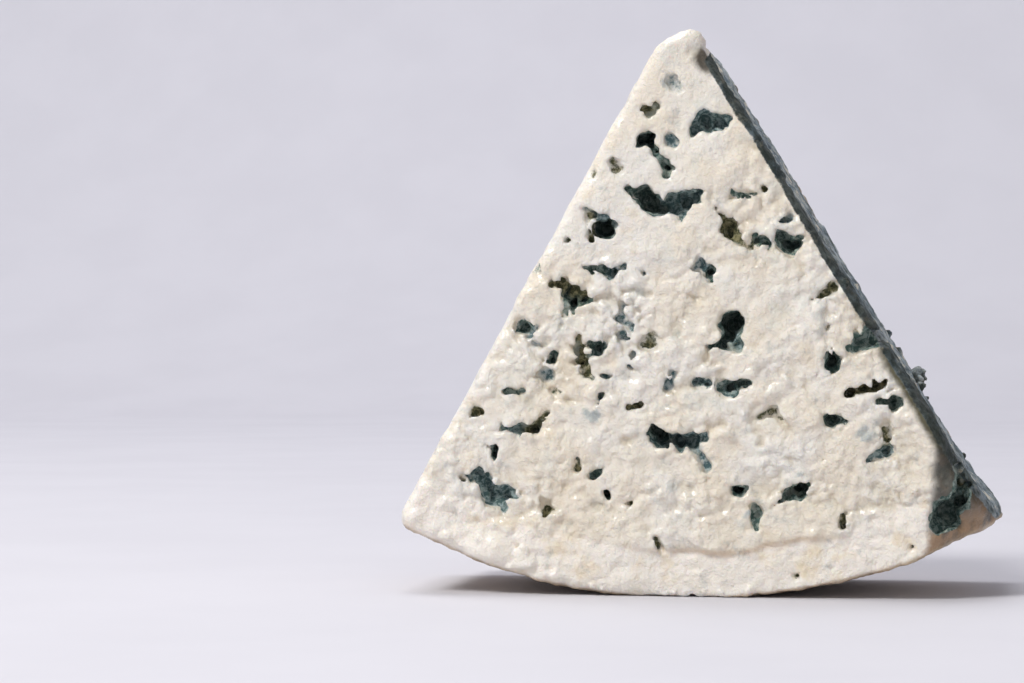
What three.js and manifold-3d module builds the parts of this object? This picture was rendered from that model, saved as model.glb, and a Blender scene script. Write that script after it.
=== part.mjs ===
// A wedge of blue-veined cheese: one sixth of a wheel that was first halved through its thickness,
// standing on its curved rind. Millimetres, +Z up, front (halved) face towards -Y.
//
// The wedge is one solid. Its outline is a sector of the wheel with a worn tip and blunt rind corners;
// mould cavities are cut into the front and the two radial faces, needle holes into the flat back rind,
// and the lower right front corner is broken off.
import * as THREE from 'three';
import { mergeVertices } from 'three/addons/utils/BufferGeometryUtils.js';
import Module from 'manifold-3d';

const wasm = await Module();
wasm.setup();

// Overall sizes.
const wheelRadius = 100;
const sectorAngle = 60.5;
const thickness = 42;
const lean = 1.3;

// Edges: the long edges are rounded, the rind corners blunt and the tip worn to an arc.
const edgeRound = 1.6;
const cornerRound = 2.6;
const tipRadius = 4.7;
const restFlat = 24;

// The band beside the rind lies a little behind the halved paste, and its step fades out towards the left.
const rimWidth = 8.5;
const rimStep = 0.8;
const rimFadeShare = -0.2;

// The broken corner: where it starts on the right front edge and on the rind, and how deep it goes.
const breakStartShare = 0.78;
const breakRindAngle = 23.7;
const breakDepth = 11;

// Needle holes in the back rind.
const needleRadius = 1.1;
const needleDepth = 7;
const needleRings = [
  { share: 0.45, count: 2 },
  { share: 0.65, count: 3 },
  { share: 0.85, count: 4 },
];

// Roundness of the model: degrees per step along the rind, and along the small arcs.
const rindStep = 2.5;
const roundStep = 20;
const bevelSteps = 3;
const clearOfBody = 20;

const radians = THREE.MathUtils.degToRad;
const halfAngle = sectorAngle / 2;
const leftAngle = lean - halfAngle;
const rightAngle = lean + halfAngle;
const chordHeight = Math.sqrt(wheelRadius ** 2 - (restFlat / 2) ** 2);

// Cavities of the front face. A bead is [share of the wheel radius, side, radius in mm]; side runs from
// -1 on the left radial edge to +1 on the right one. Beads of one cavity overlap and form one hollow.
const frontCavities = [
  { depth: 5, beads: [[0.21, 0.26, 1.3], [0.205, 0.43, 1.8], [0.21, 0.58, 1.6]] },
  { depth: 6, beads: [[0.235, -0.54, 1.4], [0.23, -0.4, 1.4]] },
  { depth: 4, beads: [[0.265, -0.2, 0.8], [0.275, -0.15, 1.1]] },
  { depth: 6, beads: [[0.325, -0.37, 1.4], [0.34, -0.29, 1.7], [0.34, -0.19, 1.6], [0.335, -0.09, 1.8]] },
  { depth: 5, beads: [[0.33, 0.02, 2], [0.32, 0.12, 1.4], [0.35, 0, 1.1]] },
  { depth: 7, beads: [[0.395, -0.65, 1.7]] },
  { depth: 2, beads: [[0.375, -0.76, 1.2]] },
  { depth: 4, beads: [[0.38, 0.39, 1.3], [0.395, 0.38, 1.4]] },
  { depth: 4, beads: [[0.42, 0.59, 1]] },
  { depth: 5, beads: [[0.44, 0.78, 1.8]] },
  { depth: 2, beads: [[0.41, 0.83, 1.1]] },
  { depth: 3, beads: [[0.465, -0.63, 0.8], [0.46, -0.55, 0.8], [0.46, -0.48, 1]] },
  { depth: 3, beads: [[0.448, 0.17, 1.2]] },
  { depth: 6, beads: [[0.515, -0.74, 1.3], [0.527, -0.69, 1.7], [0.52, -0.63, 1.2]] },
  { depth: 3, beads: [[0.6, -0.9, 1.2]] },
  { depth: 3, beads: [[0.6, -0.57, 0.9], [0.62, -0.54, 1.1]] },
  { depth: 5, beads: [[0.59, -0.48, 1.4]] },
  { depth: 7, beads: [[0.54, 0.28, 2.1], [0.56, 0.25, 1.7], [0.573, 0.22, 1.4], [0.58, 0.29, 1.2]] },
  { depth: 4, beads: [[0.647, 0.21, 1], [0.641, 0.26, 1], [0.642, 0.31, 0.8]] },
  { depth: 5, beads: [[0.642, 0.73, 1.3], [0.655, 0.72, 1.5]] },
  { depth: 6, beads: [[0.643, 0.89, 1.3], [0.645, 0.96, 2], [0.65, 1.01, 2.2]] },
  { depth: 3, beads: [[0.714, 0.81, 0.8], [0.718, 0.86, 0.9]] },
  { depth: 3, beads: [[0.756, 0.9, 1.1]] },
  { depth: 4, beads: [[0.74, 0.64, 1.5]] },
  { depth: 2, beads: [[0.824, 0.77, 1]] },
  { depth: 4, beads: [[0.762, -0.72, 1.3], [0.755, -0.67, 1.5]] },
  { depth: 7, beads: [[0.717, -0.15, 1.5], [0.727, -0.11, 1.8], [0.73, -0.04, 1.8], [0.73, 0.02, 1.6]] },
  { depth: 4, beads: [[0.86, -0.81, 1.2], [0.868, -0.77, 1.3], [0.88, -0.74, 1.6], [0.872, -0.69, 1.5]] },
  { depth: 5, beads: [[0.839, 0.38, 1.3], [0.836, 0.42, 1.5]] },
  { depth: 2, beads: [[0.867, 0.25, 1.2]] },
  { depth: 4, beads: [[0.815, -0.785, 0.9]] },
  { depth: 4, beads: [[0.82, 0.2, 0.9]] },
  { depth: 4, beads: [[0.833, -0.32, 0.8]] },
  { depth: 2, beads: [[0.885, -0.52, 0.9]] },
];

// Cavities of the radial faces: [share of the wheel radius, share of the thickness, radius in mm].
const rightCavities = {
  depth: 2,
  beads: [[0.25, 0.45, 1.6], [0.42, 0.7, 2], [0.5, 0.35, 1.7], [0.82, 0.5, 2.4], [0.93, 0.45, 1.6]],
};
const leftCavities = {
  depth: 3,
  beads: [[0.3, 0.6, 1.5], [0.44, 0.4, 1.9], [0.47, 0.46, 1.6], [0.66, 0.72, 2.2], [0.7, 0.32, 1.4],
    [0.86, 0.55, 1.8]],
};
const brokenCavity = { share: 0.925, thicknessShare: 0.12, side: 0.9, radius: 3.6, depth: 4 };

// Crumbs of cheese left standing on the right radial face.
const crumbs = [[0.73, 0.72, 1.9], [0.645, 0.8, 0.9], [0.68, 0.78, 1.1]];

// A point at a distance from the wheel's axis and an angle from straight down, positive to the right.
function onWheel(distance, angle) {
  return new THREE.Vector2(distance * Math.sin(radians(angle)), -distance * Math.cos(radians(angle)));
}

// Points of an arc, both ends kept, its angles measured as onWheel measures them.
function arcPoints(centre, radius, from, to, step) {
  const count = Math.max(2, Math.ceil(Math.abs(to - from) / step));
  const points = [];
  for (let i = 0; i <= count; i++) {
    points.push(onWheel(radius, from + (to - from) * i / count).add(centre));
  }
  return points;
}

// The wedge's outline, counterclockwise from the left rind corner.
function outlinePoints() {
  const axis = new THREE.Vector2(0, 0);
  const cornerReach = wheelRadius - cornerRound;
  const cornerTurn = THREE.MathUtils.radToDeg(Math.asin(cornerRound / cornerReach));
  const chordAngle = THREE.MathUtils.radToDeg(Math.asin(restFlat / 2 / wheelRadius));
  const leftCorner = onWheel(cornerReach, leftAngle + cornerTurn);
  const rightCorner = onWheel(cornerReach, rightAngle - cornerTurn);
  const tip = onWheel(tipRadius / Math.sin(radians(halfAngle)), lean);
  const leftRind = arcPoints(axis, wheelRadius, leftAngle + cornerTurn, -chordAngle, rindStep);
  const rightRind = arcPoints(axis, wheelRadius, chordAngle, rightAngle - cornerTurn, rindStep);
  return [
    ...arcPoints(leftCorner, cornerRound, leftAngle - 90, leftAngle + cornerTurn, roundStep).slice(0, -1),
    ...leftRind,
    ...rightRind,
    ...arcPoints(rightCorner, cornerRound, rightAngle - cornerTurn, rightAngle + 90, roundStep).slice(1),
    ...arcPoints(tip, tipRadius, rightAngle + 90, leftAngle + 270, roundStep),
  ];
}

// An outline of the wheel's plane as a slab that runs from the front (y = 0) to the back.
function slab(points, depth, bevel) {
  const geometry = new THREE.ExtrudeGeometry(new THREE.Shape(points), {
    depth: depth - 2 * bevel,
    bevelEnabled: bevel > 0,
    bevelThickness: bevel,
    bevelSize: bevel,
    bevelOffset: -bevel,
    bevelSegments: bevelSteps,
  });
  geometry.translate(0, 0, bevel - depth);
  geometry.rotateX(Math.PI / 2);
  return geometry;
}

// A ball drawn out along one direction, centred at a point; its turn makes neighbours unlike.
function bead(centre, radius, depth, direction, turn) {
  const geometry = new THREE.IcosahedronGeometry(1, 1);
  geometry.rotateZ(turn);
  geometry.scale(radius, radius, depth);
  const aim = new THREE.Quaternion().setFromUnitVectors(new THREE.Vector3(0, 0, 1), direction);
  geometry.applyQuaternion(aim);
  geometry.translate(centre.x, centre.y, centre.z);
  return geometry;
}

function toSolid(geometry) {
  const bare = geometry.clone();
  bare.deleteAttribute('normal');
  bare.deleteAttribute('uv');
  const merged = mergeVertices(bare, 1e-4);
  const vertProperties = new Float32Array(merged.attributes.position.array);
  const triVerts = new Uint32Array(merged.index.array);
  return new wasm.Manifold(new wasm.Mesh({ numProp: 3, vertProperties, triVerts }));
}

function toGeometry(solid) {
  const mesh = solid.getMesh();
  const geometry = new THREE.BufferGeometry();
  geometry.setAttribute('position', new THREE.BufferAttribute(mesh.vertProperties, 3));
  geometry.setIndex(new THREE.BufferAttribute(mesh.triVerts, 1));
  return geometry;
}

// The step down to the rind band, cut by a thin ring turned a little so that it fades out on the left.
function rimRecess() {
  const spread = halfAngle + clearOfBody;
  const axis = new THREE.Vector2(0, 0);
  const inner = arcPoints(axis, wheelRadius - rimWidth, -spread, spread, rindStep);
  const outer = arcPoints(axis, wheelRadius + clearOfBody, spread, -spread, rindStep);
  const points = [...inner, ...outer];
  const fadeAt = rimFadeShare * wheelRadius;
  const reach = wheelRadius * Math.sin(radians(rightAngle)) - fadeAt;
  const geometry = slab(points, clearOfBody, 0);
  geometry.translate(-fadeAt, -clearOfBody, 0);
  geometry.rotateZ(Math.atan(rimStep / reach));
  geometry.translate(fadeAt, 0, 0);
  return toSolid(geometry);
}

// The broken corner: everything outside the plane through three points of the break.
function brokenCorner() {
  const edge = onWheel(breakStartShare * wheelRadius, rightAngle);
  const rind = onWheel(wheelRadius, breakRindAngle);
  const deep = onWheel(wheelRadius, rightAngle);
  const plane = new THREE.Plane().setFromCoplanarPoints(
    new THREE.Vector3(edge.x, 0, edge.y),
    new THREE.Vector3(rind.x, 0, rind.y),
    new THREE.Vector3(deep.x, breakDepth, deep.y),
  );
  if (plane.normal.y > 0) {
    plane.negate();
  }
  const size = wheelRadius;
  const geometry = new THREE.BoxGeometry(size, size, size);
  geometry.translate(0, 0, size / 2);
  const up = new THREE.Vector3(0, 0, 1);
  geometry.applyQuaternion(new THREE.Quaternion().setFromUnitVectors(up, plane.normal));
  geometry.translate((rind.x + edge.x) / 2, 0, (rind.y + edge.y) / 2);
  return toSolid(geometry);
}

function frontBeads() {
  const outward = new THREE.Vector3(0, -1, 0);
  return frontCavities.flatMap(({ depth, beads }) => beads.map(([share, side, radius], i) => {
    const at = onWheel(share * wheelRadius, lean + side * halfAngle);
    return bead(new THREE.Vector3(at.x, 0, at.y), radius, depth, outward, i + share);
  }));
}

// Beads on a radial face: its angle, and which way (+1 right, -1 left) it looks.
function radialBeads(beads, angle, facing, depthOf) {
  const outward = new THREE.Vector3(
    facing * Math.cos(radians(angle)),
    0,
    facing * Math.sin(radians(angle)),
  );
  return beads.map(([share, thicknessShare, radius], i) => {
    const at = onWheel(share * wheelRadius, angle);
    const centre = new THREE.Vector3(at.x, thicknessShare * thickness, at.y);
    return bead(centre, radius, depthOf(radius), outward, i + share);
  });
}

function brokenCornerBead() {
  const { share, thicknessShare, side, radius, depth } = brokenCavity;
  const at = onWheel(share * wheelRadius, lean + side * halfAngle);
  const centre = new THREE.Vector3(at.x, thicknessShare * thickness, at.y);
  return bead(centre, radius, depth, new THREE.Vector3(0, -1, 0), share);
}

function needleHoles() {
  const inward = new THREE.Vector3(0, 1, 0);
  return needleRings.flatMap(({ share, count }) => {
    const holes = [];
    for (let i = 0; i < count; i++) {
      const side = (2 * i + 1) / count - 1;
      const at = onWheel(share * wheelRadius, lean + side * halfAngle);
      holes.push(bead(new THREE.Vector3(at.x, thickness, at.y), needleRadius, needleDepth, inward, i));
    }
    return holes;
  });
}

function wedgeSolid() {
  let solid = toSolid(slab(outlinePoints(), thickness, edgeRound));
  solid = solid.subtract(rimRecess()).subtract(brokenCorner());
  for (const crumb of radialBeads(crumbs, rightAngle, 1, (radius) => radius)) {
    solid = solid.add(toSolid(crumb));
  }
  const cuts = [
    ...frontBeads(),
    ...radialBeads(rightCavities.beads, rightAngle, 1, () => rightCavities.depth),
    ...radialBeads(leftCavities.beads, leftAngle, -1, () => leftCavities.depth),
    brokenCornerBead(),
    ...needleHoles(),
  ];
  for (const cut of cuts) {
    solid = solid.subtract(toSolid(cut));
  }
  return solid;
}

// The wedge stands on the origin: the middle of its box is at x = 0 and y = 0, its rest face at z = 0.
function standOnOrigin(geometry) {
  geometry.computeBoundingBox();
  const { min, max } = geometry.boundingBox;
  geometry.translate(-(min.x + max.x) / 2, -thickness / 2, chordHeight);
  return geometry;
}

const paste = new THREE.MeshStandardMaterial({ color: 0xe2d8cb, roughness: 0.6, metalness: 0 });
const wedge = new THREE.Mesh(standOnOrigin(toGeometry(wedgeSolid())), paste);
wedge.name = 'cheese_wedge';

const part = new THREE.Group();
part.add(wedge);

export default part;
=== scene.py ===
"""A wedge of blue-veined cheese standing on its rind, in metres, in the CAD model's frame.

The paste is grown as a distance field in the wheel's own frame (millimetres, wheel axis at x = 0 and
z = 0, halved face at y = 0), turned into one closed mesh, and painted by vertex values that the shader
breaks up with noise.
"""

import math

import bpy
import numpy as np
import openvdb
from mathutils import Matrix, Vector


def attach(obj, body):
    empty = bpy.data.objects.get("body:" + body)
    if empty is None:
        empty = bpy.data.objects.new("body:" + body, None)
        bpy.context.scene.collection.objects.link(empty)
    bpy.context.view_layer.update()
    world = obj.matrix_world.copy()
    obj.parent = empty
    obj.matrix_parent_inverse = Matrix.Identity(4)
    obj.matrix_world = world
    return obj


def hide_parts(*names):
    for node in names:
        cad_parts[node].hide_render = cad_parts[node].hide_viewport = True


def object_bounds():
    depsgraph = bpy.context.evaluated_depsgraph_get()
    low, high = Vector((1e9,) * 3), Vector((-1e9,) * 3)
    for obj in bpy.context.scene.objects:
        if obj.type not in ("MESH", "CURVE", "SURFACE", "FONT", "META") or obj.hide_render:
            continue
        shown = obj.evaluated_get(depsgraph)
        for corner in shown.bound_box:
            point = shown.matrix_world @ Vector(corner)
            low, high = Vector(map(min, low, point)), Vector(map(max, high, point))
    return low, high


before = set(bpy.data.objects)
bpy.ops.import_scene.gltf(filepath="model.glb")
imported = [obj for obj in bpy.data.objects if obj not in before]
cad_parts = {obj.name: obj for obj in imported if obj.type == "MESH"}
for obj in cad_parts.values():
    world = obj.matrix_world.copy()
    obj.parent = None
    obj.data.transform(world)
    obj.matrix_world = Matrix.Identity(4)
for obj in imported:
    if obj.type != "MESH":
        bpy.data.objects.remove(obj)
cad_low, cad_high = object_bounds()

# Driving sizes of the wedge, as in the CAD model, in millimetres and degrees.
WHEEL_RADIUS = 100.0
SECTOR_ANGLE = 60.5
LEAN = 1.3
CORNER_ROUND = 2.6
REST_FLAT = 24.0
RIM_WIDTH = 8.5
RIM_STEP = 0.8

HALF_ANGLE = SECTOR_ANGLE / 2
LEFT_ANGLE = LEAN - HALF_ANGLE
RIGHT_ANGLE = LEAN + HALF_ANGLE
THICKNESS = (cad_high.y - cad_low.y) * 1000
CORNER_TURN = math.asin(CORNER_ROUND / (WHEEL_RADIUS - CORNER_ROUND))
LEFT_CORNER_TURN = math.radians(-LEFT_ANGLE) - CORNER_TURN
LEFT_REACH = (WHEEL_RADIUS - CORNER_ROUND) * math.sin(LEFT_CORNER_TURN) + CORNER_ROUND
AXIS_HEIGHT = math.sqrt(WHEEL_RADIUS ** 2 - (REST_FLAT / 2) ** 2)
WHEEL_ORIGIN = np.array([cad_low.x * 1000 + LEFT_REACH, cad_low.y * 1000, AXIS_HEIGHT])

# The worn tip ends this far inside the sharp corner, which is this share of its rounding.
TIP_GAP = 4.6
TIP_GAP_PER_ROUND = 0.581

# Rounding of the edges. The left one is softer, the rind's sharper, and the right rind corner too.
FRONT_ROUND = 1.5
LEFT_EDGE_SOFTER = 0.9
RIND_EDGE_SHARPER = 0.8
RIGHT_CORNER_SHARPER = 2.0
BACK_ROUND = 1.6

# The rind swells towards the right corner and at it, and the right cut flares beside it.
RIND_SWELL = 0.9
CORNER_SWELL = 0.8
CUT_FLARE = 1.1

# The halved face: how far behind the foremost plane it lies, the swell above the rim band, and where
# across the wedge the band's step comes in and fades out.
FACE_RECESS = 0.6
LEDGE_SWELL = 0.25
STEP_COMES_IN = (-28, 4)
STEP_FADES_OUT = (20, 34)

# The broken corner: where it starts on the right front edge (share of the radius) and on the rind
# (degrees), both nearer the corner than in the CAD model, and how deep it goes.
BREAK_START = 0.85
BREAK_RIND_ANGLE = 24.8
BREAK_DEPTH = 11.0
BREAK_ROUND = 1.4

# A front vein's search box starts this far behind the foremost plane.
FRONT_SETBACK = 1.0
# Tearing lowers the faces by about this much, so their veins are measured from there.
TORN_SETBACK = 0.25

# Veins: sides cut on a bead, how far it may bulge past them and how wide the links between beads are,
# in bead radii; and how far noise moves the outline, in mm, coarse and fine.
FACETS = 7
BEAD_BULGE = 1.25
LINK_WIDTH = 0.8
OUTLINE_WANDER = 0.45
OUTLINE_WANDER_FINE = 0.38
FIRST_VEIN_SEED = 100
# How far outside a vein its mould lining and its bloom reach, in mm.
LINING_REACH = 0.9
BLOOM_REACH = 1.6
# Small veins scattered over the radial cuts: how many, and the seed.
RIGHT_SCATTER = (10, 61)
LEFT_SCATTER = (24, 62)

# The chip out of the tip's right side.
SCOOP_CENTRE = (5.9, -0.5, -8.9)
SCOOP_RADIUS = 2.5
# The knob of paste left above it.
CAP_CENTRE = (2.0, 2.6, -6.5)
CAP_RADIUS = 2.8
CAP_TAPER = 0.35

# Camera: mm from the wheel's axis and halved face, mm above the floor, and degrees turned to the left.
CAMERA_FROM_AXIS = (51.0, -473.3, 0.0)
CAMERA_HEIGHT = 42.8
CAMERA_TURN = 9.45
LENS = 100
SENSOR_WIDTH = 36

# Stains of the faces are painted this much stronger than their rows say.
STAIN_BOOST = 1.7

# What is the same all over the cheese: gloss, and how far light spreads in it, in metres.
PASTE_GLOSS = {
    "Specular IOR Level": 0.28,
    "Coat Roughness": 0.14,
    "Subsurface Weight": 0.3,
    "Subsurface Radius": (0.0022, 0.0017, 0.0011),
    "Subsurface Scale": 1.0,
}

# Studio floor, in metres.
FLOOR_FRONT = 1.6
FLOOR_HALF_WIDTH = 2.5
FLOOR_TOP = 2.5
SWEEP_START = 1.0
SWEEP_RADIUS = 0.6
SWEEP_STEPS = 16
FLOOR_COLOUR = (0.66, 0.65, 0.69, 1)
FLOOR_COLOUR_DARKER = (0.64, 0.63, 0.67, 1)

# Studio light: each lamp's name, place, target and size in metres, power in watts, and tint.
LAMPS = [
    ("key", (-0.54, -0.62, 0.92), (0, 0, 0.05), 0.34, 9.6, (1.0, 0.985, 0.96)),
    ("fill", (0.2, -1.1, 0.3), (0, 0, 0.05), 0.8, 1.2, (0.95, 0.97, 1.0)),
    ("backdrop", (-0.5, 0.5, 1.9), (-0.3, 1.5, 0.2), 1.2, 22, (0.97, 0.97, 1.0)),
]
WORLD_COLOUR = (0.78, 0.79, 0.85, 1)
WORLD_STRENGTH = 0.42

# Detail: voxel of the distance field, and the most triangles the finished mesh keeps.
VOXEL = 0.38
MOST_TRIANGLES = 190_000
TABLE_SIZE = 32

# Veins of the halved face. A bead is (share of the wheel radius, side from -1 at the left radial edge
# to +1 at the right one, radius in mm). kind sets the mould: teal, blue, olive or dark.
FRONT_VEINS = [
    ("olive", 1.2, [(0.171, -0.42, 0.8), (0.184, -0.54, 1.1)]),
    ("teal", 3.5, [(0.208, 0.24, 1.3), (0.204, 0.4, 1.8), (0.21, 0.56, 1.6), (0.213, 0.7, 0.6)]),
    ("teal", 2.0, [(0.208, 0.24, 1.0), (0.222, 0.2, 0.5)]),
    ("dark", 6.0, [(0.236, -0.54, 1.3), (0.227, -0.42, 1.3), (0.247, -0.32, 0.8)]),
    ("dark", 4.0, [(0.247, -0.32, 0.6), (0.264, -0.2, 0.7), (0.274, -0.15, 1.0), (0.287, -0.16, 0.6)]),
    ("blue", 0.9, [(0.23, -0.11, 0.8)]),
    ("olive", 1.0, [(0.283, -0.77, 0.5), (0.295, -0.7, 0.6)]),
    ("dark", 5.0, [(0.321, -0.55, 0.3), (0.324, -0.46, 0.7), (0.325, -0.37, 1.4), (0.338, -0.29, 1.6),
                   (0.339, -0.19, 1.4)]),
    ("teal", 4.5, [(0.339, -0.19, 1.4), (0.334, -0.09, 1.7), (0.329, 0.02, 1.9), (0.323, 0.12, 1.3),
                   (0.314, 0.18, 0.6)]),
    ("teal", 2.5, [(0.337, -0.04, 1.4), (0.351, 0.01, 0.9), (0.36, -0.01, 0.4)]),
    ("dark", 7.0, [(0.395, -0.65, 1.6)]),
    ("blue", 1.4, [(0.37, -0.83, 0.5), (0.377, -0.76, 0.9), (0.378, -0.68, 0.9), (0.386, -0.59, 0.8)]),
    ("olive", 1.4, [(0.383, -0.8, 0.3), (0.42, -0.71, 0.4)]),
    ("olive", 3.0, [(0.349, 0.32, 0.3), (0.361, 0.36, 0.6), (0.379, 0.39, 1.2), (0.394, 0.38, 1.3),
                    (0.406, 0.44, 0.5), (0.424, 0.51, 0.3)]),
    ("dark", 3.5, [(0.415, 0.56, 0.7), (0.424, 0.62, 0.8)]),
    ("dark", 5.0, [(0.431, 0.76, 1.1), (0.443, 0.79, 1.6)]),
    ("blue", 1.6, [(0.407, 0.79, 0.7), (0.41, 0.85, 0.9)]),
    ("dark", 1.5, [(0.33, 0.51, 0.3), (0.34, 0.56, 0.6), (0.341, 0.69, 0.3)]),
    ("olive", 1.0, [(0.341, 0.8, 0.5)]),
    ("dark", 3.0, [(0.466, -0.7, 0.3), (0.465, -0.63, 0.5), (0.46, -0.55, 0.55), (0.461, -0.48, 0.8)]),
    ("blue", 1.5, [(0.461, -0.48, 0.7), (0.444, -0.43, 0.4)]),
    ("blue", 1.6, [(0.437, 0.12, 0.8)]),
    ("dark", 3.5, [(0.449, 0.18, 0.85), (0.461, 0.19, 0.4)]),
    ("blue", 0.7, [(0.454, -0.28, 0.4)]),
    ("olive", 1.8, [(0.52, -0.86, 0.6), (0.509, -0.81, 0.8), (0.508, -0.71, 0.8), (0.51, -0.65, 0.6)]),
    ("dark", 6.0, [(0.516, -0.74, 0.8), (0.527, -0.69, 1.3), (0.519, -0.64, 0.9), (0.517, -0.6, 0.4)]),
    ("dark", 4.0, [(0.532, -0.68, 1.0), (0.546, -0.7, 0.5)]),
    ("dark", 3.0, [(0.601, -0.91, 0.7), (0.596, -0.89, 0.95)]),
    ("blue", 1.0, [(0.593, -0.83, 0.4), (0.608, -0.84, 0.5), (0.617, -0.78, 0.3)]),
    ("blue", 1.2, [(0.512, -0.38, 0.3), (0.535, -0.39, 0.4), (0.539, -0.35, 0.3), (0.549, -0.31, 0.5)]),
    ("blue", 1.2, [(0.565, -0.35, 0.5)]),
    ("blue", 0.8, [(0.592, -0.28, 0.3), (0.608, -0.29, 0.3)]),
    ("olive", 2.5, [(0.58, -0.59, 0.4), (0.602, -0.57, 0.7), (0.62, -0.54, 0.8), (0.639, -0.51, 0.5)]),
    ("dark", 4.5, [(0.585, -0.51, 0.7), (0.592, -0.47, 1.1)]),
    ("teal", 2.0, [(0.613, -0.53, 0.6), (0.604, -0.49, 0.5)]),
    ("blue", 0.8, [(0.642, -0.5, 0.25), (0.639, -0.43, 0.3), (0.633, -0.39, 0.3)]),
    ("dark", 7.0, [(0.54, 0.28, 1.9), (0.559, 0.25, 1.4), (0.573, 0.22, 1.1), (0.577, 0.15, 0.5)]),
    ("teal", 3.0, [(0.566, 0.26, 1.1), (0.582, 0.29, 0.9)]),
    ("olive", 1.2, [(0.554, -0.17, 0.6), (0.569, -0.2, 1.1)]),
    ("dark", 3.0, [(0.625, -0.7, 0.35), (0.635, -0.7, 0.5)]),
    ("blue", 1.6, [(0.659, -0.7, 0.8)]),
    ("dark", 1.6, [(0.71, -0.83, 0.5), (0.699, -0.78, 0.25)]),
    ("olive", 0.8, [(0.68, -0.63, 0.6)]),
    ("olive", 1.8, [(0.765, -0.93, 0.6), (0.761, -0.91, 0.7)]),
    ("blue", 1.4, [(0.635, -0.09, 0.7), (0.624, -0.07, 0.5)]),
    ("teal", 2.0, [(0.634, 0.07, 0.6), (0.641, 0.11, 0.6)]),
    ("dark", 3.5, [(0.645, 0.17, 0.3), (0.647, 0.21, 0.8), (0.641, 0.26, 0.7), (0.642, 0.31, 0.6)]),
    ("teal", 2.0, [(0.649, 0.22, 0.7), (0.662, 0.24, 0.4)]),
    ("dark", 4.5, [(0.642, 0.73, 1.1), (0.654, 0.72, 1.25)]),
    ("dark", 6.0, [(0.643, 0.84, 0.6), (0.643, 0.89, 1.1), (0.645, 0.96, 1.8), (0.651, 1.01, 2.0)]),
    ("olive", 3.2, [(0.712, 0.75, 0.8), (0.714, 0.81, 1.0), (0.718, 0.86, 1.0), (0.724, 0.91, 0.7)]),
    ("dark", 3.2, [(0.744, 0.84, 0.5), (0.749, 0.87, 0.8), (0.755, 0.9, 1.0)]),
    ("olive", 1.4, [(0.705, 0.33, 0.35), (0.699, 0.39, 0.6), (0.714, 0.43, 0.3)]),
    ("dark", 3.5, [(0.735, 0.61, 0.5), (0.741, 0.64, 1.2), (0.75, 0.68, 0.4)]),
    ("teal", 2.0, [(0.825, 0.71, 0.3), (0.825, 0.75, 0.5), (0.824, 0.78, 0.7)]),
    ("olive", 1.2, [(0.79, 0.81, 0.3), (0.807, 0.8, 0.35)]),
    ("olive", 1.4, [(0.68, -0.27, 0.45), (0.673, -0.23, 0.7)]),
    ("teal", 3.0, [(0.769, -0.79, 0.4), (0.766, -0.74, 0.6), (0.761, -0.72, 1.0), (0.755, -0.67, 1.2)]),
    ("olive", 2.0, [(0.755, -0.67, 0.9), (0.741, -0.66, 0.7), (0.723, -0.64, 0.4)]),
    ("dark", 2.5, [(0.667, -0.41, 0.35), (0.682, -0.41, 0.7)]),
    ("dark", 6.5, [(0.714, -0.15, 1.1), (0.725, -0.12, 1.6), (0.735, -0.1, 1.2)]),
    ("teal", 4.5, [(0.725, -0.12, 1.3), (0.73, -0.04, 1.6), (0.73, 0.02, 1.4), (0.726, 0.08, 0.6)]),
    ("teal", 2.5, [(0.72, -0.04, 0.8), (0.705, -0.03, 0.4)]),
    ("blue", 1.2, [(0.74, 0.02, 0.8), (0.761, 0.06, 0.7), (0.776, 0.08, 0.8)]),
    ("dark", 3.5, [(0.809, -0.79, 0.6), (0.82, -0.78, 0.6)]),
    ("teal", 3.0, [(0.871, -0.84, 0.5), (0.858, -0.81, 1.1), (0.868, -0.77, 1.1), (0.881, -0.74, 1.4),
                   (0.871, -0.69, 1.3), (0.869, -0.65, 0.5)]),
    ("teal", 2.2, [(0.885, -0.71, 1.0), (0.897, -0.68, 0.5)]),
    ("dark", 2.5, [(0.891, -0.86, 0.6)]),
    ("dark", 2.5, [(0.795, -0.36, 0.5), (0.805, -0.38, 0.45)]),
    ("dark", 4.0, [(0.833, -0.32, 0.7)]),
    ("olive", 2.2, [(0.892, -0.53, 0.6), (0.879, -0.52, 0.8)]),
    ("dark", 5.0, [(0.82, 0.2, 0.8)]),
    ("dark", 5.0, [(0.847, 0.34, 0.4), (0.839, 0.38, 1.0), (0.836, 0.42, 1.35)]),
    ("dark", 2.2, [(0.852, 0.25, 0.5), (0.867, 0.25, 0.9), (0.883, 0.24, 0.5)]),
    ("olive", 1.4, [(0.896, 0.55, 0.35), (0.914, 0.54, 0.45)]),
    ("olive", 0.8, [(0.985, 0.73, 0.35)]),
    ("olive", 2.0, [(0.544, 0.76, 0.3), (0.544, 0.83, 0.5), (0.54, 0.91, 0.7)]),
    ("olive", 0.8, [(0.599, 0.79, 0.4)]),
    ("olive", 0.8, [(0.976, 0.35, 0.4)]),
    ("olive", 0.8, [(0.318, -0.93, 0.4)]),
    ("olive", 0.7, [(0.437, -0.88, 0.4)]),
    ("olive", 1.0, [(0.779, -0.45, 0.3), (0.798, -0.44, 0.35)]),
    ("olive", 1.0, [(0.839, -0.22, 0.3), (0.853, -0.23, 0.35)]),
    ("olive", 1.2, [(0.894, -0.11, 0.4), (0.906, -0.11, 0.5)]),
    ("blue", 0.7, [(0.128, -0.2, 1.0), (0.137, -0.05, 0.9)]),
    ("blue", 1.1, [(0.226, -0.13, 0.9), (0.236, -0.11, 0.7)]),
    ("dark", 1.4, [(0.5, -1.0, 0.9), (0.5, -0.96, 0.5)]),
    ("olive", 1.0, [(0.317, -0.98, 0.7)]),
    ("olive", 1.0, [(0.362, -0.99, 0.7)]),
]

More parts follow.
